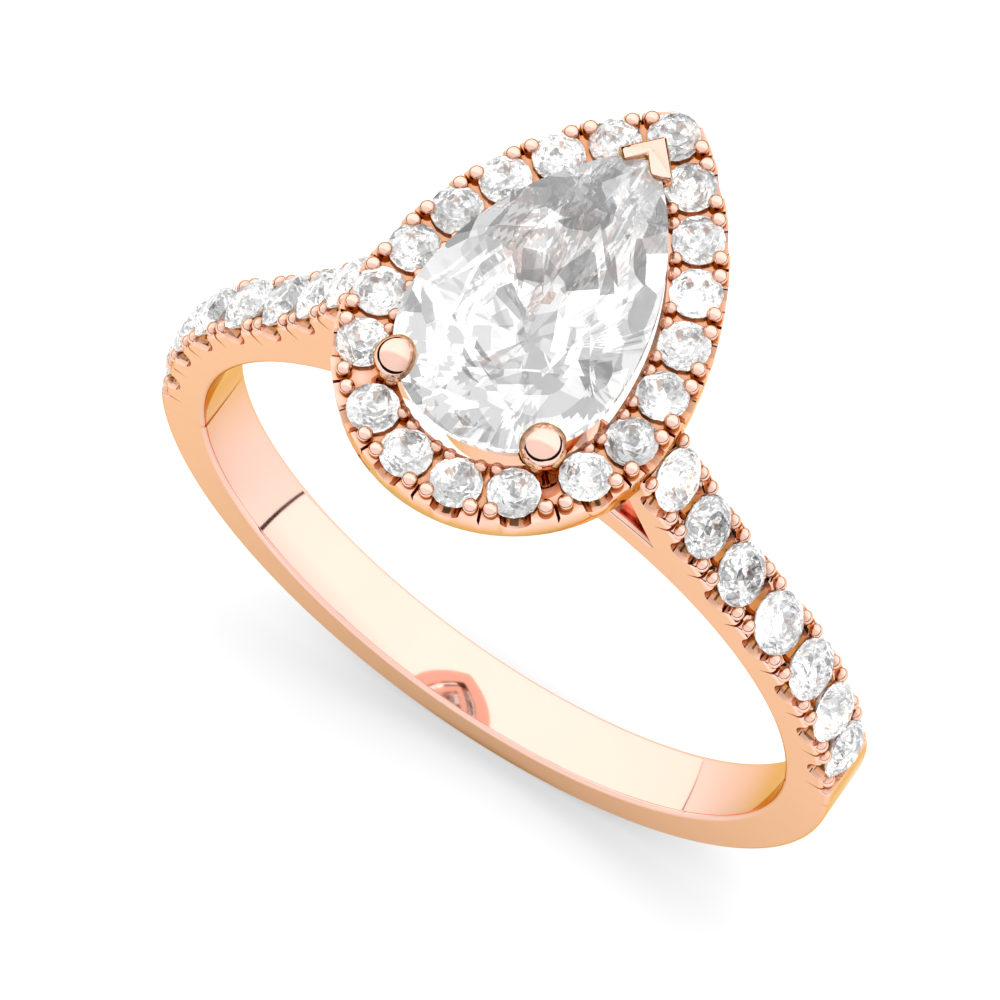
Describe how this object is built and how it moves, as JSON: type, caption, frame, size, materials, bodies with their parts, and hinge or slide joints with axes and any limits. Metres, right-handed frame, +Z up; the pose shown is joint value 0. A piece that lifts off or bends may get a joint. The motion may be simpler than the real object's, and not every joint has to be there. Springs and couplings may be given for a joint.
{
  "type": "engagement ring",
  "caption": "Cathedral engagement ring: pear-cut centre stone held in claws over a basket, a halo of round stones, and round stones set along both shoulders of a plain polished shank.",
  "frame": {"origin": "centre of the finger hole", "axes": "+Y along the finger hole, towards the sharp tip of the centre stone; +Z up through the head; +X across to the right shoulder"},
  "size_m": [0.0198, 0.012, 0.0232],
  "materials": {
    "rose_gold": "high polish",
    "centre_diamond": "faceted and polished",
    "accent_diamond": "faceted and polished"
  },
  "bodies": {
    "root": {"shank_lower": "rose_gold", "bridge_rail": "rose_gold", "shoulder_right": "rose_gold", "shoulder_left": "rose_gold", "gallery_rail": "rose_gold", "claw_right": "rose_gold", "claw_left": "rose_gold", "tip_claw": "rose_gold", "halo_rim": "rose_gold", "centre_stone": "centre_diamond", "halo_stone_01": "accent_diamond", "halo_stone_02": "accent_diamond", "halo_stone_03": "accent_diamond", "halo_stone_04": "accent_diamond", "halo_stone_05": "accent_diamond", "halo_stone_06": "accent_diamond", "halo_stone_07": "accent_diamond", "halo_stone_08": "accent_diamond", "halo_stone_09": "accent_diamond", "halo_stone_10": "accent_diamond", "halo_stone_11": "accent_diamond", "halo_stone_12": "accent_diamond", "halo_stone_13": "accent_diamond", "halo_stone_14": "accent_diamond", "halo_stone_15": "accent_diamond", "halo_stone_16": "accent_diamond", "halo_stone_17": "accent_diamond", "halo_stone_18": "accent_diamond", "halo_stone_19": "accent_diamond", "shoulder_stone_right_01": "accent_diamond", "shoulder_stone_right_02": "accent_diamond", "shoulder_stone_right_03": "accent_diamond", "shoulder_stone_right_04": "accent_diamond", "shoulder_stone_right_05": "accent_diamond", "shoulder_stone_right_06": "accent_diamond", "shoulder_stone_right_07": "accent_diamond", "shoulder_stone_left_01": "accent_diamond", "shoulder_stone_left_02": "accent_diamond", "shoulder_stone_left_03": "accent_diamond", "shoulder_stone_left_04": "accent_diamond", "shoulder_stone_left_05": "accent_diamond", "shoulder_stone_left_06": "accent_diamond", "shoulder_stone_left_07": "accent_diamond"}
  },
  "joints": []
}
